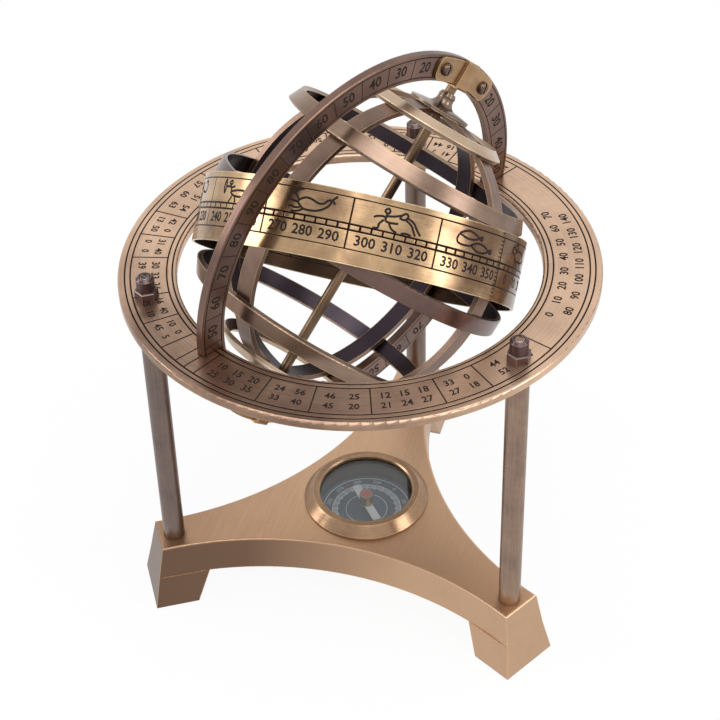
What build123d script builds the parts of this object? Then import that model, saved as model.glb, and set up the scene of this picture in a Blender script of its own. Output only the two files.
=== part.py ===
from build123d import *
from math import cos, radians, sin, sqrt, tan
import os

os.makedirs("parts", exist_ok=True)

# Armillary sphere on a three-legged base, in millimetres.
# The origin is on the floor under the middle of the base. +Z is up, +Y is north
# (the meridian ring stands in the north-south plane) and +X is east.

# Horizon ring, which sets the size of everything else
horizon_r = 70.0
horizon_width = 17.1
horizon_thick = 2.5
horizon_round = 0.7

# Base: a cast tripod with three hollowed sides and flared feet
plate_top = 23.0
plate_thick = 11.2
arm_over = 4.9
waist_r = 23.4
scoop_r = 102.0
wall_draft = 1.2
foot_splay = 4.4
foot_width = 19.8
foot_length = 13.6
root_length = 14.0
plate_edge = 0.7
foot_edge = 0.9

# Pillars and the nuts on top of them
pillar_r = 3.3
pillar_inset = 7.7
pillar_length = 92.7
stud_r = 1.6
stud_length = 7.4
spigot_r = 2.0
spigot_length = 8.0
nut_flats = 6.0
nut_hex_height = 2.9
nut_barrel_r = 2.65
nut_height = 7.3
nut_chamfer = 0.7
thread_clear = 0.05

# Meridian ring, leaning in the notches of the horizon ring
notch_depth = 7.6
meridian_width = 8.0
meridian_thick = 2.5
meridian_height = 6.4
meridian_lean = 5.3
meridian_round = 0.35
notch_clear = 0.1
rest_clear = 0.05

# Polar axis and its bearings in the meridian ring
latitude = 48.5
rod_r = 1.5
rod_clear = 0.05
rod_seat = 4.4
knuckle_width = 6.2
knuckle_rise = 2.0
knuckle_depth = 5.2
knuckle_over = 0.6
strap_thick = 0.8
strap_half_angle = 15.0
strap_inset = 0.5
strap_corner = 2.4
screw_angle = 11.0
screw_r = 0.9
screw_head_r = 1.9
screw_head_height = 1.1
slot_r = 0.35

# Celestial sphere: bands soldered round two crossed colures
colure_gap = 7.7
colure_thick = 1.6
colure_width = 5.5
band_clear = 0.06
equator_thick = 1.2
equator_width = 5.0
tropic_angle = 34.2
tropic_slope = 26.5
tropic_width = 4.9
tropic_thick = 1.6
polar_angle = 61.0
polar_slope = 52.0
polar_width = 3.6
polar_thick = 1.4
zodiac_thick = 0.75
zodiac_width = 19.4
zodiac_angle = 22.0
band_round = 0.3
cap_disc_r = 9.2
cap_disc_thick = 0.9
cap_boss_r = 4.2
cap_neck_r = 2.6
cap_height = 4.9
cap_crown = 1.0

# Compass let into the middle of the base
bezel_r = 19.7
bezel_height = 3.6
bezel_rim_r = 17.3
bezel_rim_edge = 0.4
bezel_lip_r = 14.7
bezel_foot = 0.5
case_r = 16.9
case_wall = 1.6
case_depth = 8.3
case_floor = 1.4
case_rise = 1.0
case_clear = 0.06
glass_thick = 1.4
glass_clear = 0.06
card_thick = 0.5
card_clear = 0.1
pivot_r = 0.55
pivot_height = 4.5
pivot_clear = 0.08
needle_length = 17.0
needle_width = 2.6
needle_thick = 0.4
needle_lift = 2.6
needle_heading = 159.7
hub_r = 2.1
hub_height = 3.7
hub_spigot_r = 1.4
jewel_r = 1.45
jewel_thick = 0.35

# Radii, levels and directions that follow from the sizes
horizon_inner = horizon_r - horizon_width
pillar_circle = horizon_r - pillar_inset
arm_reach = pillar_circle + arm_over
foot_reach = arm_reach + foot_splay
foot_inner = foot_reach - foot_length
foot_root = arm_reach - root_length
meridian_r = horizon_inner + notch_depth
meridian_inner = meridian_r - meridian_width
colure_r = meridian_inner - colure_gap
plate_bottom = plate_top - plate_thick
horizon_bottom = plate_top + pillar_length
horizon_top = horizon_bottom + horizon_thick
lean = radians(meridian_lean)
lat = radians(latitude)
tilt = radians(zodiac_angle)
north = Vector(0, 1, 0)
east = Vector(cos(lean), 0, -sin(lean))
crown = Vector(sin(lean), 0, cos(lean))
centre = Vector(0, 0, horizon_top + meridian_height)
pole = north * cos(lat) + crown * sin(lat)
across = crown * cos(lat) - north * sin(lat)
polar_axis = Axis(centre, pole)

# The meridian's own plane, the section through the polar axis, and the planes
# of the equator, the two colures and the zodiac band
meridian_plane = Plane(origin=centre, x_dir=north, z_dir=east)
polar_section = Plane(origin=centre, x_dir=east, z_dir=across)
equator_plane = Plane(origin=centre, x_dir=east, z_dir=pole)
solstice_plane = Plane(origin=centre, x_dir=pole, z_dir=east)
equinox_plane = Plane(origin=centre, x_dir=pole, z_dir=across)
zodiac_plane = Plane(
    origin=centre,
    x_dir=east * cos(tilt) + pole * sin(tilt),
    z_dir=pole * cos(tilt) - east * sin(tilt),
)


# Tripod base: the plate is a triangle with its three sides hollowed by large
# arcs, drafted outwards towards its underside, and a flared foot under each arm
def arm_half(x, draft):
    """Half the width of an arm at distance x, where the hollow's arc passes."""
    far = waist_r + draft + scoop_r
    return far * sin(radians(60)) - sqrt(scoop_r**2 - (x - far * cos(radians(60))) ** 2)


foot_flare = (foot_reach - arm_reach) / plate_top
plate_foot_reach = arm_reach + foot_flare * plate_thick

with BuildPart() as base:
    for level, reach, draft in (
        (plate_top, arm_reach, 0),
        (plate_bottom, plate_foot_reach, wall_draft),
    ):
        with BuildSketch(Plane.XY.offset(level)):
            RegularPolygon(reach, 3, major_radius=False, rotation=60)
            with PolarLocations(waist_r + draft + scoop_r, 3, start_angle=60):
                Circle(scoop_r, mode=Mode.SUBTRACT)
    loft(ruled=True)
    rim = base.edges().group_by(Axis.Z)[-1]
    fillet(rim, plate_edge)
    for turn in (0, 120, 240):
        arm = Plane.XY.rotated((0, 0, turn))
        root_half = arm_half(foot_root, wall_draft)
        end_half = arm_half(plate_foot_reach, wall_draft)
        with BuildSketch(arm.offset(plate_bottom)):
            Polygon(
                (foot_root, -root_half),
                (plate_foot_reach, -end_half),
                (plate_foot_reach, end_half),
                (foot_root, root_half),
                align=None,
            )
        with BuildSketch(arm):
            Polygon(
                (foot_inner, -foot_width / 2),
                (foot_reach, -foot_width / 2),
                (foot_reach, foot_width / 2),
                (foot_inner, foot_width / 2),
                align=None,
            )
        loft(ruled=True)
    fillet(base.edges().group_by(Axis.Z)[0], foot_edge)
    with Locations((0, 0, plate_top)):
        Hole(case_r + case_clear, case_depth + case_clear)
    with PolarLocations(pillar_circle, 3):
        with Locations((0, 0, plate_top)):
            Hole(spigot_r + thread_clear, spigot_length + thread_clear)
base.part.label = "base"
export_step(base.part, "parts/base.step")

# Pillars: plain round rods, each with a threaded spigot in the base and a
# thinner stud that passes through the horizon ring into its nut
for side, turn in (("east", 0), ("northwest", 120), ("southwest", 240)):
    foot = Vector(pillar_circle, 0, plate_top).rotate(Axis.Z, turn)
    stand = Plane(origin=foot)
    with BuildPart() as pillar:
        with BuildSketch(stand):
            Circle(pillar_r)
        extrude(amount=pillar_length)
        with BuildSketch(stand):
            Circle(spigot_r)
        extrude(amount=-spigot_length)
        with BuildSketch(stand.offset(pillar_length)):
            Circle(stud_r)
        extrude(amount=horizon_thick + stud_length)
        fillet(pillar.edges().group_by(Axis.Z)[-1], stud_r / 3)
        chamfer(pillar.edges().group_by(Axis.Z)[0], spigot_r / 4)
    pillar.part.label = "pillar_" + side
    export_step(pillar.part, "parts/pillar_" + side + ".step")

    # Cap nut: a low hexagon with a round chamfered barrel, bored for the stud,
    # whose rounded end stands just proud of it
    seat = stand.offset(pillar_length + horizon_thick)
    with BuildPart() as cap_nut:
        with BuildSketch(seat):
            RegularPolygon(nut_flats / 2, 6, major_radius=False)
        extrude(amount=nut_hex_height)
        chamfer(cap_nut.faces().sort_by(Axis.Z)[-1].edges(), nut_flats / 24)
        with BuildSketch(seat):
            Circle(nut_barrel_r)
        extrude(amount=nut_height)
        chamfer(cap_nut.faces().sort_by(Axis.Z)[-1].edges(), nut_chamfer)
        with BuildSketch(seat):
            Circle(stud_r + thread_clear)
        extrude(amount=nut_height, mode=Mode.SUBTRACT)
    cap_nut.part.label = "cap_nut_" + side
    export_step(cap_nut.part, "parts/cap_nut_" + side + ".step")

# Horizon ring: a flat ring with rounded rims, three stud holes and, at north
# and south, a notch in its inner edge where the meridian ring stands
rest_drop = meridian_height / cos(lean)
notch_reach = sqrt(meridian_r**2 - rest_drop**2) + rest_clear
notch_width = meridian_thick + 2 * notch_clear

with BuildPart() as horizon_ring:
    with BuildSketch(Plane.XY.offset(horizon_bottom)):
        Circle(horizon_r)
        Circle(horizon_inner, mode=Mode.SUBTRACT)
    extrude(amount=horizon_thick)
    upper = horizon_ring.edges().filter_by(GeomType.CIRCLE).group_by(Axis.Z)[-1]
    fillet(upper, horizon_round)
    with PolarLocations(pillar_circle, 3):
        with Locations((0, 0, horizon_top)):
            Hole(stud_r + thread_clear)
    with BuildSketch(meridian_plane):
        Rectangle(2 * notch_reach, 3 * meridian_height + 6 * horizon_thick)
    extrude(amount=notch_width / 2, both=True, mode=Mode.SUBTRACT)
horizon_ring.part.label = "horizon_ring"
export_step(horizon_ring.part, "parts/horizon_ring.step")

# Meridian ring: a flat ring with a pocket in its inner edge at each pole for
# the bearing knuckle, and two tapped holes beside each pocket
pocket_half = knuckle_width / 2 + rod_clear
pocket_reach = meridian_inner + knuckle_depth + rod_clear
screw_circle = (meridian_r + meridian_inner) / 2
poles = (("upper", latitude), ("lower", latitude + 180))

with BuildPart() as meridian_ring:
    with BuildSketch(meridian_plane):
        Circle(meridian_r)
        Circle(meridian_inner, mode=Mode.SUBTRACT)
        with PolarLocations(pocket_reach / 2, 2, start_angle=latitude):
            Rectangle(pocket_reach, 2 * pocket_half, mode=Mode.SUBTRACT)
        for name, angle in poles:
            with PolarLocations(
                screw_circle, 2, start_angle=angle - screw_angle, angular_range=4 * screw_angle
            ):
                Circle(screw_r + thread_clear, mode=Mode.SUBTRACT)
    extrude(amount=meridian_thick / 2, both=True)
    rims = meridian_ring.edges().filter_by(GeomType.CIRCLE).filter_by(
        lambda edge: edge.radius > meridian_r - meridian_round
    )
    fillet(rims, meridian_round)
meridian_ring.part.label = "meridian_ring"
export_step(meridian_ring.part, "parts/meridian_ring.step")

# Pole brackets: a strap bent to the ring's curve on its east face, with a
# raised knuckle whose tongue fills the ring's pocket and carries the rod's end
for place, angle in poles:
    ray = north * cos(radians(angle)) + crown * sin(radians(angle))
    spin = Plane(origin=centre, x_dir=ray, z_dir=east)
    knuckle_top = meridian_thick / 2 + knuckle_rise
    with BuildPart() as bracket:
        with BuildSketch(spin.offset(meridian_thick / 2)) as strap:
            Circle(meridian_r - strap_inset)
            Circle(meridian_inner + strap_inset, mode=Mode.SUBTRACT)
            reach = 2 * meridian_r
            high = reach * tan(radians(strap_half_angle))
            Polygon((0, 0), (reach, high), (reach, -high), align=None, mode=Mode.INTERSECT)
            fillet(strap.vertices(), strap_corner)
        extrude(amount=strap_thick)
        with BuildSketch(spin.offset(meridian_thick / 2)):
            with Locations(((meridian_inner + meridian_r) / 2 - knuckle_over / 2, 0)):
                Rectangle(meridian_r - meridian_inner + knuckle_over, knuckle_width)
        extrude(amount=knuckle_rise)
        outer = bracket.faces().sort_by(Axis(centre, east))[-1]
        fillet(outer.edges(), knuckle_rise / 2.5)
        with BuildSketch(spin.offset(meridian_thick / 2)):
            with Locations((meridian_inner + (knuckle_depth - knuckle_over) / 2, 0)):
                Rectangle(knuckle_depth + knuckle_over, knuckle_width)
        extrude(amount=-meridian_thick)
        with BuildSketch(Plane(origin=centre, x_dir=east, z_dir=ray)):
            Circle(rod_r + rod_clear)
        extrude(amount=meridian_inner + rod_seat + rod_clear, mode=Mode.SUBTRACT)
        with BuildSketch(spin.offset(meridian_thick / 2)):
            for hand in (-1, 1):
                turn = radians(hand * screw_angle)
                with Locations((screw_circle * cos(turn), screw_circle * sin(turn))):
                    Circle(screw_r + thread_clear)
        extrude(amount=strap_thick, mode=Mode.SUBTRACT)
    bracket.part.label = place + "_bracket"
    export_step(bracket.part, "parts/" + place + "_bracket.step")

    # Round-headed slotted screws through the strap into the ring
    for hand, word in ((-1, "a"), (1, "b")):
        turn = radians(hand * screw_angle)
        head = spin.offset(meridian_thick / 2 + strap_thick)
        spot = (screw_circle * cos(turn), screw_circle * sin(turn))
        with BuildPart() as screw:
            with BuildSketch(head):
                with Locations(spot):
                    Circle(screw_head_r)
            extrude(amount=screw_head_height)
            top = screw.faces().sort_by(Axis(centre, east))[-1]
            fillet(top.edges(), screw_head_height * 0.7)
            with BuildSketch(head):
                with Locations(spot):
                    Circle(screw_r)
            extrude(amount=-strap_thick - meridian_thick)
            with BuildSketch(head.offset(screw_head_height)):
                with Locations(Location(spot, angle - 30)):
                    Rectangle(2 * screw_head_r, 2 * slot_r)
            extrude(amount=-screw_head_height / 2, mode=Mode.SUBTRACT)
        screw.part.label = place + "_screw_" + word
        export_step(screw.part, "parts/" + place + "_screw_" + word + ".step")

# Polar rod: one straight rod, pole to pole, turning in the two knuckles
with BuildPart() as polar_rod:
    with BuildSketch(equator_plane):
        Circle(rod_r)
    extrude(amount=meridian_inner + rod_seat, both=True)
    chamfer(polar_rod.edges().filter_by(GeomType.CIRCLE), rod_r / 4)
polar_rod.part.label = "polar_rod"
export_step(polar_rod.part, "parts/polar_rod.step")

# Colures: two rolled bands crossing at the poles, half-lapped there and bored
# for the rod. The lap leaves each one half of its thickness at the crossing.
colure_inner = colure_r - colure_thick
lap_r = colure_r - colure_thick / 2
lap_half = colure_width / 2 + band_clear

with BuildPart() as solstitial_colure:
    with BuildSketch(solstice_plane):
        Circle(colure_r)
        Circle(colure_inner, mode=Mode.SUBTRACT)
        with PolarLocations((lap_r - band_clear / 2) / 2, 2):
            Rectangle(lap_r + band_clear / 2, 2 * lap_half, mode=Mode.SUBTRACT)
    extrude(amount=colure_width / 2, both=True)
    with BuildSketch(equator_plane):
        Circle(rod_r + band_clear)
    extrude(amount=colure_r, both=True, mode=Mode.SUBTRACT)
solstitial_colure.part.label = "solstitial_colure"
export_step(solstitial_colure.part, "parts/solstitial_colure.step")

with BuildPart() as equinoctial_colure:
    with BuildSketch(equinox_plane):
        Circle(colure_r)
        Circle(colure_inner, mode=Mode.SUBTRACT)
    extrude(amount=colure_width / 2, both=True)
    with BuildSketch(equator_plane):
        Rectangle(2 * lap_half, 2 * lap_half)
        Circle(rod_r + band_clear)
    for way in (1, -1):
        with BuildSketch(equator_plane.offset(way * (lap_r - band_clear / 2))):
            Rectangle(2 * lap_half, 2 * lap_half)
        extrude(amount=way * colure_thick, mode=Mode.SUBTRACT)
    with BuildSketch(equator_plane):
        Circle(rod_r + band_clear)
    extrude(amount=colure_r, both=True, mode=Mode.SUBTRACT)
equinoctial_colure.part.label = "equinoctial_colure"
export_step(equinoctial_colure.part, "parts/equinoctial_colure.step")

# Equator: a rolled band outside the colures
shell_r = sqrt(colure_r**2 + (colure_width / 2) ** 2) + band_clear
equator_r = shell_r + equator_thick

with BuildPart() as equator_ring:
    with BuildSketch(equator_plane):
        Circle(equator_r)
        Circle(shell_r, mode=Mode.SUBTRACT)
    extrude(amount=equator_width / 2, both=True)
    hoops = equator_ring.edges().filter_by(GeomType.CIRCLE).filter_by(
        lambda edge: edge.radius > shell_r + equator_thick / 2
    )
    fillet(hoops, band_round)
equator_ring.part.label = "equator_ring"
export_step(equator_ring.part, "parts/equator_ring.step")

# Tropics and polar circles: coned bands whose lower inner edge lies on the
# colures. Each is turned about the polar axis from a slanted section.
for title, start, slope, width, thick in (
    ("tropic", tropic_angle, tropic_slope, tropic_width, tropic_thick),
    ("polar_circle", polar_angle, polar_slope, polar_width, polar_thick),
):
    for half, way in (("north", 1), ("south", -1)):
        foot_point = (shell_r * cos(radians(start)), shell_r * sin(radians(start)))
        up = (-width * sin(radians(slope)), width * cos(radians(slope)))
        out = (thick * cos(radians(slope)), thick * sin(radians(slope)))
        corners = (
            foot_point,
            (foot_point[0] + up[0], foot_point[1] + up[1]),
            (foot_point[0] + up[0] + out[0], foot_point[1] + up[1] + out[1]),
            (foot_point[0] + out[0], foot_point[1] + out[1]),
        )
        with BuildPart() as hoop:
            with BuildSketch(polar_section):
                Polygon(*[(x, way * y) for x, y in corners], align=None)
                fillet([v for v in vertices() if v.X > foot_point[0]], band_round)
            revolve(axis=polar_axis)
        hoop.part.label = half + "_" + title
        export_step(hoop.part, "parts/" + half + "_" + title + ".step")

# Zodiac band: a broad thin band, tilted from the equator and passing over it
zodiac_inner = sqrt(equator_r**2 + (equator_width / 2) ** 2) + band_clear

with BuildPart() as zodiac_band:
    with BuildSketch(zodiac_plane):
        Circle(zodiac_inner + zodiac_thick)
        Circle(zodiac_inner, mode=Mode.SUBTRACT)
    extrude(amount=zodiac_width / 2, both=True)
zodiac_band.part.label = "zodiac_band"
export_step(zodiac_band.part, "parts/zodiac_band.step")

# Pole caps: a dished disc lying on the crossed colures, with a flared boss
# that grips the rod
for half, way in (("north", 1), ("south", -1)):
    under = shell_r
    bore = rod_r + thread_clear
    over = under + cap_disc_thick

    def on_ball(radius, x):
        """The point at distance x from the axis on a ball of this radius."""
        return (x, way * sqrt(radius**2 - x**2))

    with BuildPart() as pole_cap:
        with BuildSketch(polar_section):
            with BuildLine():
                ThreePointArc(
                    on_ball(under, bore), on_ball(under, cap_disc_r / 2), on_ball(under, cap_disc_r)
                )
                Line(on_ball(under, cap_disc_r), on_ball(over, cap_disc_r))
                ThreePointArc(
                    on_ball(over, cap_disc_r),
                    on_ball(over, (cap_disc_r + cap_boss_r) / 2),
                    on_ball(over, cap_boss_r),
                )
                skirt = on_ball(over, cap_boss_r)
                shoulder = (cap_neck_r, way * (under + cap_height - cap_crown))
                brow = (bore + cap_crown / 2, way * (under + cap_height))
                waist_point = (cap_neck_r * 1.06, way * (over + cap_crown))
                ThreePointArc(skirt, waist_point, shoulder)
                Line(shoulder, brow)
                Line(brow, (bore, way * (under + cap_height)))
                Line((bore, way * (under + cap_height)), on_ball(under, bore))
            make_face()
        revolve(axis=polar_axis)
    pole_cap.part.label = half + "_pole_cap"
    export_step(pole_cap.part, "parts/" + half + "_pole_cap.step")

# Compass case: a plain cup in the base's well
case_bottom = plate_top - case_depth
case_top = plate_top + case_rise
case_inner = case_r - case_wall
floor_top = case_bottom + case_floor

with BuildPart() as compass_case:
    with BuildSketch(Plane.XY.offset(case_bottom)):
        Circle(case_r)
    extrude(amount=case_depth + case_rise)
    with Locations((0, 0, case_top)):
        Hole(case_inner, case_depth + case_rise - case_floor)
compass_case.part.label = "compass_case"
export_step(compass_case.part, "parts/compass_case.step")

# Bezel: turned ring with a conical flank and a narrow polished rim. It sits
# on the plate round the case and holds the glass down on the case's edge.
glass_r = case_inner + case_wall / 2
glass_top = case_top + glass_thick
bezel_top = plate_top + bezel_height

with BuildPart() as bezel:
    with BuildSketch(Plane.XZ):
        with BuildLine():
            Polyline(
                (case_r + case_clear, plate_top),
                (bezel_r, plate_top),
                (bezel_r, plate_top + bezel_foot),
                (bezel_rim_r, bezel_top - bezel_rim_edge),
                (bezel_rim_r - bezel_rim_edge, bezel_top),
                (bezel_lip_r + bezel_rim_edge, bezel_top),
                (bezel_lip_r, bezel_top - bezel_rim_edge),
                (bezel_lip_r, glass_top + glass_clear),
                (glass_r + glass_clear, glass_top + glass_clear),
                (glass_r + glass_clear, case_top + glass_clear),
                (case_r + case_clear, case_top + glass_clear),
                close=True,
            )
        make_face()
    revolve(axis=Axis.Z)
bezel.part.label = "bezel"
export_step(bezel.part, "parts/bezel.step")

with BuildPart() as compass_glass:
    with BuildSketch(Plane.XY.offset(case_top)):
        Circle(glass_r)
    extrude(amount=glass_thick)
compass_glass.part.label = "compass_glass"
export_step(compass_glass.part, "parts/compass_glass.step")

# Dial card on the case's floor, with a hole for the pivot
with BuildPart() as dial_card:
    with BuildSketch(Plane.XY.offset(floor_top)):
        Circle(case_inner - card_clear)
        Circle(pivot_r + card_clear, mode=Mode.SUBTRACT)
    extrude(amount=card_thick)
dial_card.part.label = "dial_card"
export_step(dial_card.part, "parts/dial_card.step")

# Pivot: a pin with a conical point that carries the needle's hub
with BuildPart() as pivot:
    with BuildSketch(Plane.XY.offset(floor_top)):
        Circle(pivot_r)
    extrude(amount=pivot_height)
    chamfer(pivot.edges().group_by(Axis.Z)[-1], pivot_r * 1.6, pivot_r * 0.8)
pivot.part.label = "pivot"
export_step(pivot.part, "parts/pivot.step")

# Needle: a flat bar, and its turned hub with a coned cup on the pivot's point
card_top = floor_top + card_thick
needle_bottom = card_top + needle_lift
hub_top = needle_bottom + needle_thick + hub_height
cup_top = floor_top + pivot_height + pivot_clear

with BuildPart() as needle:
    with BuildSketch(Plane.XY.rotated((0, 0, needle_heading)).offset(needle_bottom)):
        Rectangle(needle_length, needle_width)
        fillet(vertices(), needle_width / 5)
        Circle(hub_r)
        Circle(hub_spigot_r + thread_clear, mode=Mode.SUBTRACT)
    extrude(amount=needle_thick)
needle.part.label = "needle"
export_step(needle.part, "parts/needle.step")

with BuildPart() as needle_hub:
    with BuildSketch(Plane.XZ):
        with BuildLine():
            Polyline(
                (pivot_r + pivot_clear, needle_bottom),
                (hub_spigot_r, needle_bottom),
                (hub_spigot_r, needle_bottom + needle_thick),
                (hub_r, needle_bottom + needle_thick),
                (hub_r, hub_top),
                (jewel_r + thread_clear, hub_top),
                (jewel_r + thread_clear, hub_top - jewel_thick),
                (0, hub_top - jewel_thick),
                (0, cup_top),
                (pivot_r * 0.2 + pivot_clear, cup_top),
                (pivot_r + pivot_clear, cup_top - pivot_r * 1.6),
                close=True,
            )
        make_face()
    revolve(axis=Axis.Z)
needle_hub.part.label = "needle_hub"
export_step(needle_hub.part, "parts/needle_hub.step")

with BuildPart() as hub_jewel:
    with BuildSketch(Plane.XY.offset(hub_top - jewel_thick)):
        Circle(jewel_r)
    extrude(amount=jewel_thick)
hub_jewel.part.label = "hub_jewel"
export_step(hub_jewel.part, "parts/hub_jewel.step")
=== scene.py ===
from math import cos, pi, radians, sin

import bpy
from mathutils import Matrix, Vector


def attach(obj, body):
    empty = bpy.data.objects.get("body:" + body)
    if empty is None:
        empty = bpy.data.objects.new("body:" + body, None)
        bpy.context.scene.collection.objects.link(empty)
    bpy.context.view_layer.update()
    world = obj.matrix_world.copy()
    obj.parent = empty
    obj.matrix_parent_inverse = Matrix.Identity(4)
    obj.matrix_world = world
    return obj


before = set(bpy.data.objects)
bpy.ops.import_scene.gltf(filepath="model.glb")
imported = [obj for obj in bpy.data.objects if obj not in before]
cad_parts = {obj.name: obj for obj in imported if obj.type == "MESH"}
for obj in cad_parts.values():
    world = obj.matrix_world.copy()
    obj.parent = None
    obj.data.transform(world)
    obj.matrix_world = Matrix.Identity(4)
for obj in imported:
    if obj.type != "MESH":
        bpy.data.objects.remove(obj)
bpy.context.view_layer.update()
bpy.ops.object.select_all(action="DESELECT")


# Base
# One sand-cast brass tripod: a plate with three hollowed sides and a flared foot
# under each arm. It was linished, darkened with an antiquing wash, rubbed back
# and lacquered, so its faces are softly streaked and its edges show paler metal.

mm = 0.001


def tint(code):
    """Linear colour of an sRGB hex value."""
    parts = [int(code[i:i + 2], 16) / 255 for i in (1, 3, 5)]
    return [p / 12.92 if p <= 0.04045 else ((p + 0.055) / 1.055) ** 2.4 for p in parts] + [1.0]


def add(tree, kind, inputs=(), **settings):
    """Adds a node. Inputs go in by place or by name, each a value or an output to link.

    A MapRange takes its value, the two ends it comes from and the two it goes to. A
    colour Mix takes its share at 0 and its colours at 6 and 7, and gives them at 2.
    """
    node = tree.nodes.new("ShaderNode" + kind)
    for key, value in settings.items():
        setattr(node, key, value)
    for key, value in inputs.items() if isinstance(inputs, dict) else enumerate(inputs):
        if isinstance(value, bpy.types.Node):
            value = value.outputs[0]
        if isinstance(value, bpy.types.NodeSocket):
            tree.links.new(value, node.inputs[key])
        elif value is not None:
            node.inputs[key].default_value = value
    return node


def blank(name):
    """A new material and its empty node tree."""
    stuff = bpy.data.materials.new(name)
    stuff.use_nodes = True
    stuff.node_tree.nodes.clear()
    return stuff, stuff.node_tree


def antique_brass(
    name, pale, dark, worn, roughness, middle=(0, 0, 0), axis=(0, 0, 1), side=(1, 0, 0),
    turned=True, cloud=0.4, wear=0.8, shine=0.55, blotches=0.3, painted_shade_side=(0, 0, 0),
    flank=None, inside=None, marks=None
):
    """Brass with a brown antiquing wash, rubbed back and lacquered.

    pale is the rubbed metal, dark the wash and worn the bare edges. middle, axis and
    side are the piece's own frame. Turned pieces are brushed round their axis, drawn
    ones along it. cloud and blotches say how uneven the wash is, wear how bare the
    edges are, and shine how far the brushing draws the gloss out. deeper points to
    the side that gets painted shade. flank is the colour of the painted shade on
    upright faces, inside that of the painted shade on a band's inner faces, and
    marks draws etched lines.
    """
    # Per millimetre: patches of wash about 18 mm across, blotches of 2.4 mm and
    # brushing strokes of 0.35 mm. Real strokes are finer, and these are as coarse
    # as they need to be to show.
    wash_scale = 0.055
    blotch_scale = 0.42
    stroke_scale = 2.9
    strokes_per_radian = 2.5
    drawn_stroke_scale = 0.09
    edge_width = 0.45 * mm
    corner_reach = 3.5 * mm
    relief = 0.05 * mm
    corner_shade_and_wash = "#3A2A22"
    etched_wax = "#1D130F"

    z = Vector(axis).normalized()
    x = (Vector(side) - z * z.dot(Vector(side))).normalized()
    turn = Matrix((x, z.cross(x), z)).transposed().to_euler()
    stuff, tree = blank(name)
    coord = add(tree, "TexCoord")
    local = add(
        tree, "Mapping",
        {"Vector": coord.outputs["Object"], "Location": middle, "Rotation": turn, "Scale": (mm,) * 3},
        vector_type="TEXTURE",
    )
    spot = add(tree, "SeparateXYZ", [local])
    flat = add(tree, "CombineXYZ", [spot.outputs[0], spot.outputs[1], 0.0])
    reach = add(tree, "VectorMath", [flat], operation="LENGTH").outputs["Value"]

    # Height and radius both count on turned pieces, so that the strokes run round
    # their flat faces and their walls alike
    if turned:
        ray = add(tree, "VectorMath", [flat], operation="NORMALIZE")
        around = (strokes_per_radian, strokes_per_radian, 0.0)
        long = add(tree, "VectorMath", [ray, around], operation="MULTIPLY")
        level = add(tree, "Math", [spot.outputs[2], 2.1, reach], operation="MULTIPLY_ADD")
        fine = add(tree, "Math", [level, stroke_scale], operation="MULTIPLY")
        lift = add(tree, "CombineXYZ", [0.0, 0.0, fine])
        stroke_place = add(tree, "VectorMath", [long, lift], operation="ADD")
    else:
        along = (stroke_scale, stroke_scale, drawn_stroke_scale)
        stroke_place = add(tree, "VectorMath", [local, along], operation="MULTIPLY")
    strokes = add(
        tree, "TexNoise", {"Vector": stroke_place, "Scale": 1.0, "Detail": 2.0, "Roughness": 0.6}
    ).outputs["Fac"]
    wash = add(
        tree, "TexNoise", {"Vector": local, "Scale": wash_scale, "Detail": 3.0, "Roughness": 0.55}
    ).outputs["Fac"]
    blotch = add(
        tree, "TexNoise", {"Vector": local, "Scale": blotch_scale, "Detail": 3.0, "Roughness": 0.6}
    ).outputs["Fac"]

    # How dark the colour is, from none to the full dark colour: the wash, and painted
    # shade towards one side. Noise lies mostly between a third and two thirds, which is
    # why its ranges start and end there.
    spread = add(tree, "MapRange", [wash, 0.32, 0.68, 0.0, cloud])
    with_blotch = add(tree, "Math", [blotch, blotches, spread], operation="MULTIPLY_ADD")
    with_strokes = add(tree, "Math", [strokes, 0.45, with_blotch], operation="MULTIPLY_ADD")
    # Painted shade: the colour darkens towards one side of the piece, the side set by deeper
    toward_shaded_side = add(tree, "VectorMath", [local, painted_shade_side], operation="DOT_PRODUCT").outputs["Value"]
    painted_shade = add(tree, "MapRange", [toward_shaded_side, 0.3, 1.05, 0.0, 0.62])
    with_painted_shade = add(tree, "Math", [painted_shade, with_strokes], operation="ADD")
    depth = add(tree, "Math", [with_painted_shade, 0.3], operation="SUBTRACT", use_clamp=True)
    colour = add(tree, "Mix", {0: depth, 6: tint(pale), 7: tint(dark)}, data_type="RGBA").outputs[2]

    # Painted shade on upright faces, mixed in as the flank colour, strongest on the shaded side
    if flank:
        upright = add(tree, "SeparateXYZ", [coord.outputs["Normal"]]).outputs[2]
        upright_painted_shade = add(tree, "MapRange", [upright, 0.85, 0.3, 0.0, 0.85])
        uneven = add(tree, "MapRange", [toward_shaded_side, -0.3, 0.5, 0.08, 1.0])
        upright_painted_shade = add(tree, "Math", [upright_painted_shade, uneven], operation="MULTIPLY")
        colour = add(tree, "Mix", {0: upright_painted_shade, 6: colour, 7: tint(flank)}, data_type="RGBA").outputs[2]

    # Painted shade on a band's inner faces, which face into the sphere
    if inside:
        offset = add(tree, "VectorMath", [coord.outputs["Object"], middle], operation="SUBTRACT")
        outwards = add(tree, "VectorMath", [offset], operation="NORMALIZE")
        facing = add(
            tree, "VectorMath", [coord.outputs["Normal"], outwards], operation="DOT_PRODUCT"
        ).outputs["Value"]
        inner_painted_shade = add(tree, "MapRange", [facing, -0.05, -0.45, 0.0, 0.92])
        colour = add(tree, "Mix", {0: inner_painted_shade, 6: colour, 7: tint(inside)}, data_type="RGBA").outputs[2]
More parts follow.
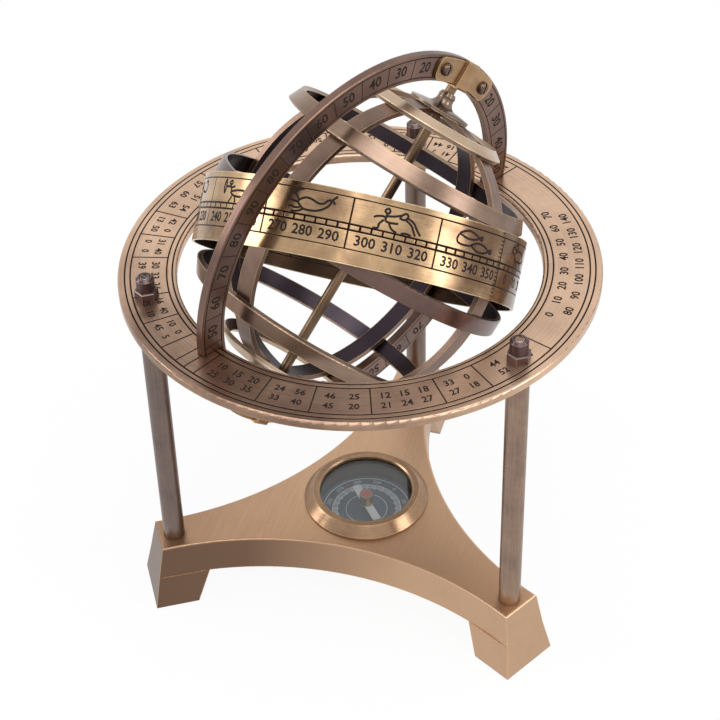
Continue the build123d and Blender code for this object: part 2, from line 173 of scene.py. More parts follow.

    # Edges show the bare metal. Corners and places close to other parts are darkened from ambient
    # occlusion: painted shade, together with the wash that stays in corners
    soft = add(tree, "Bevel", [edge_width], samples=4)
    shape = add(tree, "NewGeometry")
    match = add(
        tree, "VectorMath", [soft, shape.outputs["Normal"]], operation="DOT_PRODUCT"
    ).outputs["Value"]
    edge = add(tree, "MapRange", [match, 0.99, 0.8, 0.0, 1.0])
    broken = add(tree, "MapRange", [blotch, 0.36, 0.64, wear, 0.72 * wear])
    rubbed = add(tree, "Math", [edge, broken], operation="MULTIPLY")
    colour = add(tree, "Mix", {0: rubbed, 6: colour, 7: tint(worn)}, data_type="RGBA").outputs[2]
    shade = add(tree, "AmbientOcclusion", {"Distance": corner_reach}, samples=4)
    corner = add(tree, "MapRange", [shade.outputs["AO"], 0.75, 0.25, 0.0, 0.55])
    colour = add(tree, "Mix", {0: corner, 6: colour, 7: tint(corner_shade_and_wash)}, data_type="RGBA").outputs[2]

    # Wash in a corner is dull, and rounded edges are scuffed, so their glint is soft
    height = add(tree, "Math", [strokes, 0.16], operation="MULTIPLY")
    dull = add(tree, "Math", [strokes, 0.12, roughness - 0.06], operation="MULTIPLY_ADD")
    dull = add(tree, "Math", [corner, 0.3, dull], operation="MULTIPLY_ADD")
    dull = add(tree, "Math", [edge, 0.28, dull], operation="MULTIPLY_ADD")
    if marks:
        etched = marks(tree, spot, reach)
        colour = add(tree, "Mix", {0: etched, 6: colour, 7: tint(etched_wax)}, data_type="RGBA").outputs[2]
        dull = add(tree, "Math", [etched, 0.3, dull], operation="MULTIPLY_ADD")
        height = add(tree, "Math", [height, etched], operation="SUBTRACT")
    bump = add(tree, "Bump", {"Height": height, "Distance": relief, "Strength": 0.8})

    # Gloss is drawn out across the brushing
    if turned:
        offset = add(tree, "VectorMath", [coord.outputs["Object"], middle], operation="SUBTRACT")
        lay = add(tree, "VectorMath", [z, offset], operation="CROSS_PRODUCT")
    else:
        lay = add(tree, "CombineXYZ", [z.x, z.y, z.z])
    across_lay = add(tree, "VectorMath", [coord.outputs["Normal"], lay], operation="CROSS_PRODUCT")
    tangent = add(
        tree, "VectorTransform", [across_lay],
        vector_type="VECTOR", convert_from="OBJECT", convert_to="WORLD",
    )
    shader = add(tree, "BsdfPrincipled", {
        "Base Color": colour, "Metallic": 1.0, "Roughness": dull, "Normal": bump,
        "Anisotropic": shine, "Tangent": tangent,
    })
    add(tree, "OutputMaterial", [shader])
    return stuff


def dress(node, stuff):
    """Gives a solid of the frame its finish."""
    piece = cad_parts[node]
    for place in piece.material_slots:
        place.material = stuff
    if not piece.material_slots:
        piece.data.materials.append(stuff)


# Linishing runs across the plate to its front side, which faces 30 degrees east of
# south. Painted shade darkens the plate towards the southwest arm, and its upright
# faces get painted shade in the flank colour
to_front = (0.5, -0.866, 0)
dress("base", antique_brass(
    "cast brass, linished and antiqued", "#C6A283", "#8A6B56", "#E2BC90", 0.34,
    axis=to_front, turned=False, cloud=0.12, wear=0.95, shine=0.3, blotches=0.12,
    painted_shade_side=(-0.016, 0, 0), flank="#614A3E",
))


# Compass
# A pocket compass let into the base: a spun brass cup, a thick flat glass that a
# turned bezel holds down, a printed card, and a white needle with a brass hub on a
# steel pin.

# The bezel's turning lines fan the gloss out. The cup is seen through the glass only,
# and is dull and brown. The pin is steel, ground bright and then greyed.
dress("bezel", antique_brass(
    "turned brass, darkened flank", "#A38468", "#5B4436", "#E6C9A0", 0.27, cloud=0.4, wear=1.0
))
dress("compass_case", antique_brass(
    "spun brass cup", "#6F563F", "#43342A", "#8A6A4C", 0.45, cloud=0.4, wear=0.3
))
dress("pivot", antique_brass(
    "steel pin", "#B9B6B0", "#8F8B85", "#D6D3CC", 0.3, cloud=0.2, turned=False
))

# Mineral glass is clear and sharp, but for a film of finger grease about 11 mm broad
glass, tree = blank("mineral glass, flat")
place = add(tree, "TexCoord")
grease_scale = 0.09 / mm
haze = add(
    tree, "TexNoise", {"Vector": place.outputs["Object"], "Scale": grease_scale, "Detail": 3.0}
).outputs["Fac"]
film = add(tree, "MapRange", [haze, 0.3, 0.8, 0.01, 0.06])
clear = add(tree, "BsdfPrincipled", {
    "Base Color": tint("#F4F8FA"), "Roughness": film, "IOR": 1.5, "Transmission Weight": 1.0,
})
add(tree, "OutputMaterial", [clear])
dress("compass_glass", glass)


def away_from(tree, value, line):
    """How far a value is from a line's place, on either side."""
    off = add(tree, "Math", [value, line], operation="SUBTRACT")
    return add(tree, "Math", [off], operation="ABSOLUTE")


# The card is printed paper, matt and slate blue, with a white degree scale. Each row
# of ticks has its step in degrees, its inner and outer radius and its line width in
# mm, and each circle its radius and line width.
tick_rows = ((2.5, 9.6, 10.8, 0.2), (15, 8.9, 10.8, 0.34))
card_circles = ((10.95, 0.3), (9.5, 0.2), (6.6, 0.2), (13.9, 0.3))
fibre_scale = 2.5

card, tree = blank("printed card, slate blue")
place = add(tree, "TexCoord")
local = add(
    tree, "Mapping", {"Vector": place.outputs["Object"], "Scale": (mm,) * 3}, vector_type="TEXTURE"
)
spot = add(tree, "SeparateXYZ", [local])
flat = add(tree, "CombineXYZ", [spot.outputs[0], spot.outputs[1], 0.0])
reach = add(tree, "VectorMath", [flat], operation="LENGTH").outputs["Value"]
bearing = add(tree, "Math", [spot.outputs[1], spot.outputs[0]], operation="ARCTAN2")
ink = 0.0
for step, inner, outer, width in tick_rows:
    count = add(tree, "Math", [bearing, 180 / pi / step], operation="MULTIPLY")
    near = add(tree, "Math", [count, 0.5], operation="ADD")
    nearest = add(tree, "Math", [near], operation="FLOOR")
    gap = away_from(tree, count, nearest)
    away = add(tree, "Math", [gap, reach], operation="MULTIPLY")
    tick = add(tree, "Math", [away, width / 2 / radians(step)], operation="LESS_THAN")
    low = add(tree, "Math", [reach, inner], operation="GREATER_THAN")
    high = add(tree, "Math", [reach, outer], operation="LESS_THAN")
    band = add(tree, "Math", [low, high], operation="MULTIPLY")
    shown = add(tree, "Math", [tick, band], operation="MULTIPLY")
    ink = add(tree, "Math", [shown, ink], operation="MAXIMUM")
for radius, width in card_circles:
    gap = away_from(tree, reach, radius)
    line = add(tree, "Math", [gap, width / 2], operation="LESS_THAN")
    ink = add(tree, "Math", [line, ink], operation="MAXIMUM")
fibre = add(tree, "TexNoise", {"Vector": local, "Scale": fibre_scale, "Detail": 3.0}).outputs["Fac"]
paper = add(tree, "Mix", {0: fibre, 6: tint("#3F4C5A"), 7: tint("#66737F")}, data_type="RGBA").outputs[2]
printed = add(tree, "Mix", {0: ink, 6: paper, 7: tint("#EDF1F3")}, data_type="RGBA").outputs[2]
matt = add(tree, "BsdfPrincipled", {"Base Color": printed, "Roughness": 0.55})
add(tree, "OutputMaterial", [matt])
dress("dial_card", card)


def paint(name, colour, shade, roughness, gloss=0.5):
    """A thin coat of enamel, ink or wax, a little uneven over a quarter of a millimetre."""
    patch_scale = 4 / mm
    stuff, tree = blank(name)
    place = add(tree, "TexCoord")
    uneven = add(
        tree, "TexNoise", {"Vector": place.outputs["Object"], "Scale": patch_scale, "Detail": 2.0}
    ).outputs["Fac"]
    mixed = add(tree, "Mix", {0: uneven, 6: tint(colour), 7: tint(shade)}, data_type="RGBA").outputs[2]
    bump = add(tree, "Bump", {"Height": uneven, "Distance": 0.02 * mm, "Strength": 0.4})
    coat = add(tree, "BsdfPrincipled", {
        "Base Color": mixed, "Roughness": roughness, "Normal": bump, "Specular IOR Level": gloss,
    })
    add(tree, "OutputMaterial", [coat])
    return stuff


# Enamel is smooth and softly glossy. The hub was turned and left bright.
dress("needle", paint("white enamel", "#F1F1EE", "#D9D9D6", 0.4))
dress("needle_hub", antique_brass(
    "turned brass, bright", "#D9B77E", "#A8834E", "#EFD9A8", 0.25, cloud=0.3
))
dress("hub_jewel", paint("red enamel", "#C8404A", "#A92F3A", 0.3))


def number(words, size, weight=0.075):
    """Plain numbers as a thin mesh in the XY plane, centred on the origin, in mm."""
    bpy.ops.object.select_all(action="DESELECT")
    bpy.ops.object.text_add()
    text = bpy.context.object
    text.data.body = words
    text.data.size = size
    text.data.offset = weight
    text.data.extrude = 0.012
    text.data.resolution_u = 2
    text.data.align_x = "CENTER"
    text.data.align_y = "CENTER"
    bpy.ops.object.convert(target="MESH")
    return bpy.context.object


def raised(width, length):
    """Stretches the flat shape just added and gives it 0.02 mm of height."""
    mark = bpy.context.object
    bpy.ops.object.mode_set(mode="EDIT")
    bpy.ops.transform.resize(value=(width, length, 1))
    bpy.ops.mesh.extrude_region_move(TRANSFORM_OT_translate={"value": (0, 0, 0.02)})
    bpy.ops.mesh.select_all(action="SELECT")
    bpy.ops.mesh.normals_make_consistent(inside=False)
    bpy.ops.object.mode_set(mode="OBJECT")
    return mark


def gather(pieces, name, body, stuff):
    """Joins flat marks drawn in mm into one piece in metres that rides on a body."""
    bpy.ops.object.select_all(action="DESELECT")
    for piece in pieces:
        piece.select_set(True)
    bpy.context.view_layer.objects.active = pieces[0]
    bpy.ops.object.join()
    piece = bpy.context.object
    piece.name = name
    piece.data.transform(Matrix.Scale(mm, 4))
    piece.data.materials.clear()
    piece.data.materials.append(stuff)
    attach(piece, body)


def on_card(piece, bearing):
    """Lays a mark on the card, outside its scale, with its head outwards."""
    radius = 12.4
    card_top = 16.62
    turn = radians(bearing)
    piece.data.transform(
        Matrix.Translation((radius * cos(turn), radius * sin(turn), card_top))
        @ Matrix.Rotation(turn - pi / 2, 4, "Z")
    )
    return piece


# Compass bearings run clockwise from north, and turns run the other way from east
card_marks = []
for bearing in range(0, 360, 30):
    card_marks.append(on_card(number(str((450 - bearing) % 360), 1.9, 0.03), bearing))
gather(card_marks, "dial_numbers", "stand", paint("white ink", "#DDE2E6", "#B9C2CA", 0.5))

# A small red arrow printed on the card
bpy.ops.object.select_all(action="DESELECT")
bpy.ops.mesh.primitive_circle_add(vertices=3, radius=1.1, fill_type="NGON")
arrow = on_card(raised(0.7, 1.0), 167.5)
gather([arrow], "dial_arrow", "stand", paint("red ink", "#C23A3F", "#A52E36", 0.5))


# Pillars and nuts
# Three drawn brass rods screwed into the base and chemically darkened, each with a
# small darkened nut that clamps the horizon ring. Drawing leaves streaks down the
# rod. The rods' colours differ as painted light and shade, lightest on the east rod.

pillar_circle_r = 62.3 * mm
# Painted light and shade: the east rod is painted lighter than the other two
for side, bearing, shade in (
    ("east", 0, "#A88D78"), ("northwest", 120, "#8A786C"), ("southwest", 240, "#86766C")
):
    turn = radians(bearing)
    foot = (pillar_circle_r * cos(turn), pillar_circle_r * sin(turn), 0)
    dress("pillar_" + side, antique_brass(
        "drawn brass rod, darkened, " + side, shade, "#54474A", "#A98A6C", 0.34,
        middle=foot, turned=False, cloud=0.5, wear=0.5, shine=0.5,
    ))
    dress("cap_nut_" + side, antique_brass(
        "turned brass nut, darkened, " + side, "#655556", "#33282D", "#A9948C", 0.3,
        middle=foot, cloud=0.5, wear=0.9, shine=0.4,
    ))


# Horizon ring
# A flat ring turned from brass plate, its upper rims rounded. Turning leaves fine
# circles that fan the gloss out. Four circles, the cell lines and the numbers are
# etched and filled with dark wax.

def circles(radii, width):
    """Etched circles round the piece's axis, as a mask for antique_brass."""
    def draw(tree, spot, reach):
        mark = 0.0
        for radius in radii:
            gap = away_from(tree, reach, radius)
            line = add(tree, "MapRange", [gap, width * 0.7, width * 0.4, 0.0, 1.0])
            mark = add(tree, "Math", [line, mark], operation="MAXIMUM")
        return mark
    return draw


# Painted shade darkens the ring towards its front, on the south side
dress("horizon_ring", antique_brass(
    "turned brass plate, antiqued", "#DDBB9F", "#6E564B", "#D2AA7C", 0.3,
    cloud=0.25, wear=0.9, shine=0.6, blotches=0.2, painted_shade_side=(0.0042, -0.0162, 0),
    marks=circles((54.2, 55.8, 66.3, 67.9), 0.42),
))

# Engraver's wax is nearly black and quite matt
wax = paint("dark wax", "#1A110E", "#2A1D18", 0.7, gloss=0.2)


def rule(length, width=0.4):
    """An etched straight line along Y, centred on the origin, in mm."""
    bpy.ops.object.select_all(action="DESELECT")
    bpy.ops.mesh.primitive_plane_add(size=1)
    return raised(width, length)


def on_horizon(piece, radius, bearing):
    """Lays a mark on the ring's top face with its head towards the middle."""
    ring_top = 118.21
    turn = radians(bearing)
    piece.data.transform(
        Matrix.Translation((radius * cos(turn), radius * sin(turn), ring_top))
        @ Matrix.Rotation(turn + pi / 2, 4, "Z")
    )
    return piece


# Lines across the ring, by their bearing
cell_lines = (
    8.2, 89.6, 98.0, 107.0, 115.8, 125.1, 135.5, 145.4, 155.3, 165.3, 183.3, 203.0, 213.2,
    223.0, 239.6, 250.2, 260.4, 266.4, 269.6, 273.0, 291.0, 304.2, 318.8, 336.5, 348.7,
)
# Cells with their first and last bearing, inner and outer row, and the numbers' size
cells = (
    (291.0, 304.2, "24 56", "33 40", 3.0), (304.2, 318.8, "46 25", "45 20", 3.0),
    (318.8, 336.5, "12 15 18", "21 24 27", 3.2), (336.5, 348.7, "33 0", "27 18", 3.0),
    (348.7, 368.2, "44 0", "52 30", 3.0), (273.0, 291.0, "10 15 20", "25 30 35", 3.2),
    (250.2, 260.4, "10 0", "45 5", 2.9), (239.6, 250.2, "16 40", "55 10", 2.9),
    (223.0, 239.6, "30 33 36", "39 42 45", 3.2), (213.2, 223.0, "31 40", "0 0", 2.9),
    (203.0, 213.2, "42 0", "13 50", 2.9), (183.3, 203.0, "48 51 54", "57 60 63", 3.2),
    (165.3, 183.3, "31 52", "0 45", 2.9), (155.3, 165.3, "19 30", "47 5", 2.9),
    (145.4, 155.3, "21 6", "50 35", 2.9), (135.5, 145.4, "8 46", "25 10", 2.9),
    (125.1, 135.5, "0 54", "34 12", 2.9), (115.8, 125.1, "38 0", "49 20", 2.9),
    (107.0, 115.8, "41 7", "16 44", 2.9), (98.0, 107.0, "29 3", "53 11", 2.9),
    (89.6, 98.0, "37 2", "22 58", 2.9),
)
# The part of a cell's width that its numbers spread over
cell_fill = 0.86
# The plain stretch to the east has two rows of tens, the outer one half a step on
tens_start = 20
tens_step = 6.6
tens_rows = ((59.0, range(0, 80, 10), 0.0), (63.4, range(80, 150, 10), 0.5))

horizon_marks = []
for bearing in cell_lines:
    horizon_marks.append(on_horizon(rule(10.5), 61.05, bearing))
for start, end, inner_row, outer_row, size in cells:
    for radius, row in ((59.2, inner_row), (63.1, outer_row)):
        words = row.split()
        for order, word in enumerate(words):
            share = 0.5 + ((order + 0.5) / len(words) - 0.5) * cell_fill
            bearing = start + (end - start) * share
            horizon_marks.append(on_horizon(number(word, size), radius, bearing))
for radius, row, shift in tens_rows:
    for order, value in enumerate(row):
        bearing = tens_start + (order + shift) * tens_step
        horizon_marks.append(on_horizon(number(str(value), 3.5), radius, bearing))
gather(horizon_marks, "horizon_numbers", "stand", wax)


# Meridian ring
# A flat ring cut from brass plate, wedged in the horizon ring's notches with a
# slight lean. It was darkened and its edges wore bright. Its east face is etched
# with a line along each edge and a number every ten degrees.

centre = Vector((0, 0, 124.6 * mm))
lean = radians(5.3)
pole_bearing = 48.5
latitude = radians(pole_bearing)
north = Vector((0, 1, 0))
east = Vector((cos(lean), 0, -sin(lean)))
crown = Vector((sin(lean), 0, cos(lean)))
pole = north * cos(latitude) + crown * sin(latitude)
across = crown * cos(latitude) - north * sin(latitude)

dress("meridian_ring", antique_brass(
    "cut brass plate, darkened", "#866B5E", "#46393A", "#C0956A", 0.32,
    middle=centre, axis=east, side=north, cloud=0.5, wear=1.0, shine=0.5,
    marks=circles((53.5, 59.5), 0.26),
))

ring_mid_r = 56.5
plate = Matrix((north, crown, east)).transposed().to_4x4()
plate.translation = centre / mm


def on_meridian(piece, bearing):
    """Lays a mark half way across the ring's east face with its head outwards."""
    face = 1.26
    turn = radians(bearing)
    piece.data.transform(
        plate @ Matrix.Translation((ring_mid_r * cos(turn), ring_mid_r * sin(turn), face))
        @ Matrix.Rotation(turn - pi / 2, 4, "Z")
    )
    return piece


def from_pole(bearing):
    """Degrees to the nearer pole."""
    away = abs(bearing - pole_bearing) % 180
    return min(away, 180 - away)


# Marks that a pole bracket would cover are left out
line_clearance = 14.5
number_clearance = 16.5
meridian_marks = []
for step in range(36):
    bearing = pole_bearing - 45 + 10 * step
    if from_pole(bearing) > line_clearance:
        meridian_marks.append(on_meridian(rule(6.0, 0.26), bearing))
for step in range(36):
    bearing = pole_bearing - 40 + 10 * step
    if from_pole(bearing) > number_clearance:
        value = round(from_pole(bearing))
        meridian_marks.append(on_meridian(number(str(value), 4.5, 0.08), bearing))
gather(meridian_marks, "meridian_numbers", "meridian", wax)

# Two pole brackets pressed from brass and polished, each held on the ring's east
# face by two slotted steel screws that were blackened. Both wore bright at the edges.
screw_spread = 11
for half, angle in (("upper", pole_bearing), ("lower", pole_bearing + 180)):
    dress(half + "_bracket", antique_brass(
        "pressed brass, antiqued, " + half, "#B5916A", "#5A4538", "#EFD09A", 0.3,
        middle=centre, axis=east, side=north, cloud=0.5, wear=1.0, shine=0.3,
    ))
    for hand, word in ((-1, "a"), (1, "b")):
        turn = radians(angle + hand * screw_spread)
        head = centre + (north * cos(turn) + crown * sin(turn)) * (ring_mid_r * mm)
        dress(half + "_screw_" + word, antique_brass(
            "steel screw, darkened, " + half + " " + word, "#6B5B50", "#33292A", "#B79C7A", 0.3,
            middle=head, axis=east, side=north, cloud=0.4, wear=1.0,
        ))


# Rod and pole caps
# One drawn brass rod from pole to pole carries the sphere, with a turned cap at each
# end that clamps the crossed bands. Drawing left long streaks on the rod, and turning
# left bright circles on the caps.

dress("polar_rod", antique_brass(
    "drawn rod, darkened", "#92785F", "#5A483C", "#C9A47A", 0.32,
    middle=centre, axis=pole, side=east, turned=False, cloud=0.5, wear=0.6,
))
for half in ("north", "south"):
    dress(half + "_pole_cap", antique_brass(
        "turned brass cap, " + half, "#8F7B6B", "#4C3E38", "#DCC6A4", 0.28,
        middle=centre, axis=pole, side=east, cloud=0.5, wear=1.0,
    ))


# Colures, equator, tropics and polar circles
# Two bands rolled from brass strip cross at the poles, and the other five lie on
# them, soldered. Their inner faces get painted shade, darker than the outer faces.

# All bands are one brass strip. Their colours differ band by band as painted light and shade: the polar
# circles are painted lightest and the equator darkest.
colure_colours = ("#8E7566", "#4A3B3A", "#CFAA80", "#39323C")
equator_colours = ("#7B6259", "#423538", "#C39C76", "#39323C")
tropic_colours = ("#9C8472", "#5E4B44", "#DCBB92", "#39343F")
polar_circle_colours = ("#CFB79E", "#9C826A", "#F3E1C6", "#6A5850")
for node, axis, (pale, dark, worn, inside) in (
    ("solstitial_colure", east, colure_colours),
    ("equinoctial_colure", across, colure_colours),
    ("equator_ring", pole, equator_colours),
    ("north_tropic", pole, tropic_colours),
    ("south_tropic", pole, tropic_colours),
    ("north_polar_circle", pole, polar_circle_colours),
    ("south_polar_circle", pole, polar_circle_colours),
):
    dress(node, antique_brass(
        "rolled brass strip, " + node.replace("_", " "), pale, dark, worn, 0.32,
        middle=centre, axis=axis, side=north, cloud=0.55, wear=1.0, shine=0.5, inside=inside,
    ))


# Zodiac band
# The broad band that shows the sun's path: thin strip soldered over the equator,
# polished so that it stays the brightest piece, and etched with twelve cells, each
# with a figure, a ladder of degrees and its numbers.

tilt = radians(22)
band_x = east * cos(tilt) + pole * sin(tilt)
band_z = pole * cos(tilt) - east * sin(tilt)
band_y = band_z.cross(band_x)
band_top = 9.7
band_width = 19.4
band_r = 47.0
cell_step = 30
rung_step = 3.75
first_cell = -2

# Places across the band, as shares of its width from its top edge
top_line = 0.09
figure_row = 0.27
ladder_top = 0.45
ladder_foot = 0.53
number_row = 0.66
low_line = 0.79


def ladder(tree, spot, reach):
    """The border lines, the ladder and its rungs, and the lines between cells."""
    mark = 0.0
    for share, width in ((top_line, 0.32), (ladder_top, 0.5), (ladder_foot, 0.5), (low_line, 0.32)):
        gap = away_from(tree, spot.outputs[2], band_top - share * band_width)
        line = add(tree, "MapRange", [gap, width * 0.7, width * 0.4, 0.0, 1.0])
        mark = add(tree, "Math", [line, mark], operation="MAXIMUM")
    bearing = add(tree, "Math", [spot.outputs[1], spot.outputs[0]], operation="ARCTAN2")
    for step, top, foot, width in (
        (cell_step, top_line, low_line, 0.4), (rung_step, ladder_top, ladder_foot, 0.55)
    ):
        first = 0.5 - first_cell / step
        count = add(tree, "Math", [bearing, 180 / pi / step, first], operation="MULTIPLY_ADD")
        part = add(tree, "Math", [count], operation="FRACT")
        gap = away_from(tree, part, 0.5)
        size = width / (radians(step) * band_r)
        rung = add(tree, "MapRange", [gap, size * 0.7, size * 0.4, 0.0, 1.0])
        lowest = band_top - foot * band_width
        highest = band_top - top * band_width
        low = add(tree, "Math", [spot.outputs[2], lowest], operation="GREATER_THAN")
        high = add(tree, "Math", [spot.outputs[2], highest], operation="LESS_THAN")
        both = add(tree, "Math", [low, high], operation="MULTIPLY")
        rung = add(tree, "Math", [rung, both], operation="MULTIPLY")
        mark = add(tree, "Math", [rung, mark], operation="MAXIMUM")

    # The lapped joint: a strip of close ribs across the band beside a cell line
    rib_pitch = 1.1
    joint_bearing = radians(-2.95)
    joint_half_width = radians(0.8)
    count = add(tree, "Math", [spot.outputs[2], 1 / rib_pitch], operation="MULTIPLY")
    part = add(tree, "Math", [count], operation="FRACT")
    rib = add(tree, "Math", [part, 0.45], operation="LESS_THAN")
    gap = away_from(tree, bearing, joint_bearing)
    strip = add(tree, "Math", [gap, joint_half_width], operation="LESS_THAN")
    rib = add(tree, "Math", [rib, strip], operation="MULTIPLY")
    rib = add(tree, "Math", [rib, 0.7], operation="MULTIPLY")
    return add(tree, "Math", [rib, mark], operation="MAXIMUM")


# Painted shade darkens the band towards one side, and its inner face
dress("zodiac_band", antique_brass(
    "polished brass strip, etched", "#CFAE86", "#755C48", "#F0D8AC", 0.22,
    middle=centre, axis=band_z, side=band_x, cloud=0.8, wear=1.0, shine=0.5, blotches=0.35,
    painted_shade_side=(0.019, 0.0165, 0), inside="#5A4638", marks=ladder,
))

# The traditional figures of the twelve signs as simple outlines, 16 by 7 mm. Points
# are set off by commas and lines by semicolons.
signs = {
    "ram": (
        "4 3,5 4.8,9 5,12.5 4.6,13.4 3,12 2,5 2,4 3;5.2 2.1,5 .3;6.6 2,6.8 .3;10.8 2,10.6 .3;"
        "12.4 2.2,12.6 .3;4.8 4.6,3.6 5.8,2.2 5.4,1.8 4.2,3.2 3.8,4.2 3.4;"
        "3.6 5.8,4.8 7,6.4 6.2,5.8 4.8,4.6 5.4;13.2 3.6,14.4 2.4"
    ),
    "bull": (
        "3.6 3,4.6 5,9 5.2,13 4.8,13.8 3,12 2,5 1.8,3.6 3;5 2,4.4 .3;6.4 1.9,6.8 .3;11 1.9,10.6 .3;"
        "12.8 2.1,13.2 .3;4.2 4.6,3 5.4,1.6 4.8,1.4 3.4,2.8 3.2,3.8 3.2;2.2 5.2,.8 6.4,1.6 7;"
        "3.2 5.4,4.4 6.6,3.6 7;13.6 3.8,15.2 3,14.8 1.4"
    ),
    "twins": (
        "5 5.6,5.8 6.8,6.6 5.6,5.8 4.8,5 5.6;5.8 4.8,5 3.4,5.2 2,4.6 .2;5.8 4.8,6.8 3.4,6.4 2,6.8 .2;"
        "5.6 4.2,3.6 3.2;6.2 4.2,8 3.6;9.4 5.6,10.2 6.8,11 5.6,10.2 4.8,9.4 5.6;"
        "10.2 4.8,9.4 3.4,9.6 2,9 .2;10.2 4.8,11.2 3.4,10.8 2,11.2 .2;9.8 4.2,8 3.6;10.4 4.2,12.4 3.2"
    ),
    "crab": (
        "4.8 3,6 4.6,8 5,10 4.6,11.2 3,10 1.6,8 1.2,6 1.6,4.8 3;5.6 4.2,3.4 5.4,2 4.4,3 3.6,3.6 4.6;"
        "10.4 4.2,12.6 5.4,14 4.4,13 3.6,12.4 4.6;5 2.4,3 2.6,2.2 1.6;5.6 1.8,4.2 1.2,3.6 .2;"
        "11 2.4,13 2.6,13.8 1.6;10.4 1.8,11.8 1.2,12.4 .2;7.2 3.6,8.8 3.6"
    ),
    "lion": (
        "4.6 3.2,6 4.6,10 4.6,13 4.2,13.6 2.8,12 2,6 1.8,4.6 3.2;5.6 2.1,5 .3;7 1.9,7.4 .3;"
        "11.4 1.9,11 .3;13 2.3,13.4 .3;4.8 3,3 2.6,1.6 3.6,1.8 5.4,3.6 6.4,5.4 5.8,6.2 4.4;"
        "2.8 4.8,3 4.2;13.4 3.6,14.8 4.8,14.2 6.2,15.4 6.6"
    ),
    "maiden": (
        "7 5.8,7.8 6.9,8.6 5.8,7.8 5,7 5.8;7.4 5.1,6.4 3.2,5.4 .4,10.2 .4,9.2 3.2,8.2 5.1;"
        "6.8 4.4,5 3.4,4.2 4.6;8.8 4.4,10.6 3.6,11.8 4.8;11.8 3.4,12 6.2;11.4 5,11.9 5.6,12.5 5;"
        "11.4 5.8,12 6.6,12.6 5.8;6.6 .4,7.4 2.6;9 .4,8.4 2.6"
    ),
    "scales": (
        "8 .4,8 6.6;5.8 .4,10.2 .4;2.8 5.4,8 6.2,13.2 5.4;2.8 5.4,1.4 3,4.4 3,2.8 5.4;"
        "1.4 3,2.8 1.8,4.4 3;13.2 5.4,11.6 3,14.8 3,13.2 5.4;11.6 3,13.2 1.8,14.8 3"
    ),
    "scorpion": (
        "3.6 3.4,5 4.4,8 4.4,9.6 3.4,8 2.4,5 2.4,3.6 3.4;4 4,2.2 5.2,1.2 4,2.2 3.6;"
        "4 2.8,2.2 1.6,1.2 2.8,2.2 3.2;9.6 3.4,12 2.6,14 3.4,14.2 5.4,12.6 6.4,11.8 5.4;"
        "5.4 2.4,4.8 .8;6.8 2.4,6.6 .6;8 2.4,8.4 .8;5.4 4.4,4.8 6;6.8 4.4,6.6 6.2;8 4.4,8.4 6"
    ),
    "archer": (
        "5.6 3.2,8 3.8,12 3.8,13 2.8,12 2,6.4 2,5.6 3.2;6.6 2,5.4 .3;7.8 2,8.4 .3;11.4 2,10.6 .3;"
        "12.6 2.2,13.2 .3;6 3.4,5.2 5;4.4 5.6,5.2 6.6,6 5.6,5.2 5,4.4 5.6;5.4 4.6,2.8 4.6;"
        "5.4 4.2,7.2 4.8;2.6 6.6,1.4 4.6,2.6 2.6;2.6 6.6,3.4 4.6,2.6 2.6;13 3.2,14.6 2.6"
    ),
    "sea goat": (
        ""
        "5 3.4,6.6 4.8,9 4.6,11 3.6,12.6 3.8,13.4 5,14.6 5.2,14.2 3.8,13 2.6,11 1.6,8.6 1.4,6.4 1.6,5 3.4;"
        "14.6 5.2,15.8 6.4;14.6 5.2,15.6 4.2;5.2 4,4.4 5.4,3 5.2,1.8 4.2,2.6 3.6,4 3.4,5 3.2;"
        "4 5.4,4.8 6.8,6.4 6.8;3.4 5.4,3.8 6.8,5 7.2;2.2 3.8,2.2 2.8;6 1.8,4.4 1.4,3.4 2.2,2.6 1.6;"
        "7 1.5,5.4 .4,3.6 .6"
    ),
    "water carrier": (
        "4.2 5.4,5 6.6,5.8 5.4,5 4.6,4.2 5.4;5 4.6,4.4 3,6 2.4,8.4 2.8;4.4 3,3 1.8,3.6 .4,1.8 .4;"
        "6 2.4,6.4 .8,8.4 .4;5.2 4.2,7.4 4.4,8.8 5.2;8.4 4.4,9.6 6.2,11 5.4,9.8 3.8,8.4 4.4;"
        "10.6 4.8,12.6 4.2,13.6 2.4,15 1;10.2 4.2,12 3.4,12.8 1.8,13.6 .6;9.6 .4,11 1,12.4 .4;"
        "5.2 3.8,3 4.2,1.6 3.2"
    ),
    "fishes": (
        "2 4.6,4.4 6.2,7.6 5.4,9.4 4.6,7.6 3.8,4.4 3.6,2 4.6;9.2 4.6,10.6 5.6,10.4 3.8,9.2 4.6;"
        "3.4 4.9,3.5 4.7;6.6 2.2,8.6 3.4,11.8 3,13.8 1.9,11.8 .9,8.6 .8,6.6 2.2;"
        "13.6 1.9,15 2.9,14.8 .9,13.6 1.9;8 2.3,8.1 2.1;2 4.4,1 3,2.6 1.4,6.6 2"
    ),
}


def outline(strokes):
    """A figure as thick etched lines in the XY plane, centred on the origin, in mm."""
    line_half_width = 0.31
    squash = 0.1
    bpy.ops.object.select_all(action="DESELECT")
    curve = bpy.data.curves.new("figure", "CURVE")
    curve.dimensions = "3D"
    curve.bevel_depth = line_half_width
    curve.bevel_resolution = 1
    curve.resolution_u = 4
    curve.use_fill_caps = True
    for stroke in strokes.split(";"):
        points = [[float(v) for v in pair.split()] for pair in stroke.split(",")]
        spline = curve.splines.new("NURBS")
        spline.points.add(len(points) - 1)
        for point, (x, y) in zip(spline.points, points):
            point.co = (x - 8, y - 3.5, 0, 1)
        spline.order_u = 3
        spline.use_endpoint_u = True
    piece = bpy.data.objects.new("figure", curve)
    bpy.context.collection.objects.link(piece)
    piece.select_set(True)
    bpy.context.view_layer.objects.active = piece
    bpy.ops.object.convert(target="MESH")
    piece = bpy.context.object
    piece.data.transform(Matrix.Diagonal((1, 1, squash, 1)))
    return piece


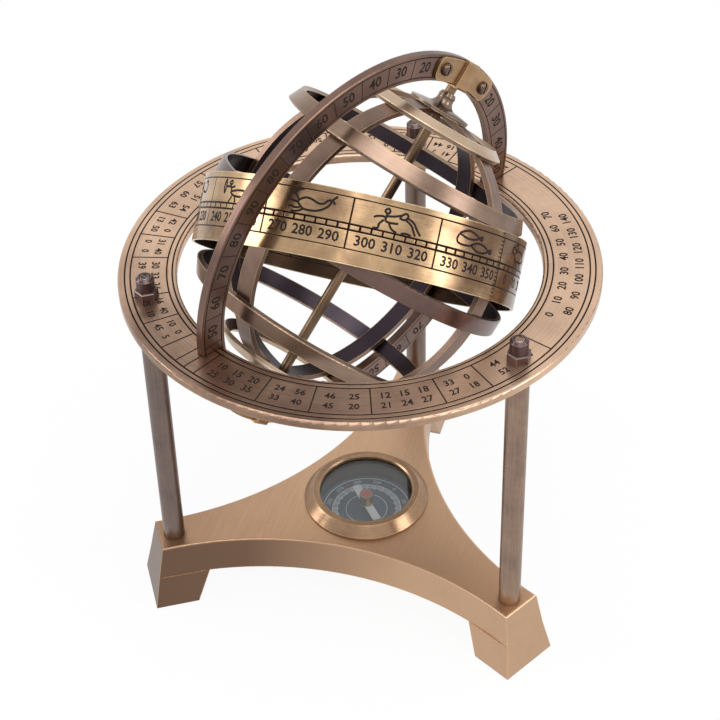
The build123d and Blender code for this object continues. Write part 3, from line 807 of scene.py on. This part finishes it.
def on_band(piece, bearing, share):
    """Wraps a flat mark round the outside of the band, 0.02 mm proud of it."""
    for point in piece.data.vertices:
        turn = radians(bearing) + point.co.x / band_r
        radius = band_r + 0.02 + point.co.z
        rise = band_top - share * band_width + point.co.y
        point.co = (
            centre / mm + band_x * (radius * cos(turn)) + band_y * (radius * sin(turn)) + band_z * rise
        )
    return piece


number_step = 9.0
zodiac_marks = []
for cell, strokes in enumerate(signs.values()):
    cell_middle = first_cell + (cell + 0.5) * cell_step
    zodiac_marks.append(on_band(outline(strokes), cell_middle, figure_row))
    for order in range(3):
        value = cell * cell_step + 10 * order
        bearing = cell_middle + (order - 1) * number_step
        zodiac_marks.append(on_band(number(str(value), 3.9, 0.09), bearing, number_row))
gather(zodiac_marks, "zodiac_marks", "celestial_sphere", wax)


# Studio
# A white paper sweep under a white sky. A broad soft lamp hangs high over the
# front right, and two smaller ones stand low, on the left and on the right.

def seen_rays(tree):
    """One for rays from the camera, off gloss or through glass, and nought for others."""
    path = add(tree, "LightPath").outputs
    seen = add(tree, "Math", [path["Is Camera Ray"], path["Is Glossy Ray"]], operation="ADD")
    return add(tree, "Math", [seen, path["Is Transmission Ray"]], operation="ADD", use_clamp=True)


# The sweep is seen nearly as white as the sky, and still keeps the object's shadow
sweep_glow = 0.94
bpy.ops.object.select_all(action="DESELECT")
bpy.ops.mesh.primitive_plane_add(size=6, location=(0, 0, 0))
floor = bpy.context.object
floor.name = "floor"
sweep, tree = blank("white paper sweep")
glow = add(tree, "Math", [seen_rays(tree), sweep_glow], operation="MULTIPLY")
matt = add(tree, "BsdfDiffuse", {"Color": tint("#F4F4F4")})
lit = add(tree, "Emission", {"Color": (1, 1, 1, 1), "Strength": 1.0})
both = add(tree, "MixShader", [glow, matt, lit])
add(tree, "OutputMaterial", [both])
floor.data.materials.append(sweep)

sky_light = 0.55
world = bpy.data.worlds.new("studio")
bpy.context.scene.world = world
world.use_nodes = True
tree = world.node_tree
tree.nodes.clear()
level = add(tree, "MapRange", [seen_rays(tree), 0.0, 1.0, sky_light, 1.0])
sky = add(tree, "Background", {"Color": (1, 1, 1, 1), "Strength": level})
add(tree, "OutputWorld", [sky])

lamps_aim = Vector((0, 0, 0.08))
for name, place, size, watts in (
    ("lamp_above", (0.35, -0.15, 1.3), 1.0, 9.5),
    ("lamp_left", (-0.9, -0.9, 0.6), 0.6, 5.0),
    ("lamp_right", (1.1, 0.5, 0.5), 0.5, 4.0),
):
    bpy.ops.object.light_add(type="AREA", location=place)
    lamp = bpy.context.object
    lamp.name = name
    lamp.data.size = size
    lamp.data.energy = watts
    lamp.rotation_euler = (lamps_aim - Vector(place)).to_track_quat("-Z", "Y").to_euler()

# The camera's place, aim, roll and lens were fitted to the photograph
camera_aim = Vector((-0.0160, 0.0138, 0.0622))
camera_roll = radians(-1.63)
bpy.ops.object.camera_add(location=(0.3361, -0.3130, 0.47495))
camera = bpy.context.object
view = (camera_aim - camera.location).to_track_quat("-Z", "Y")
camera.rotation_euler = (view.to_matrix() @ Matrix.Rotation(camera_roll, 3, "Z")).to_euler()
camera.data.lens = 100.445
camera.data.sensor_width = 36
camera.data.clip_start = 0.01
bpy.context.scene.camera = camera
bpy.context.scene.view_settings.view_transform = "Standard"
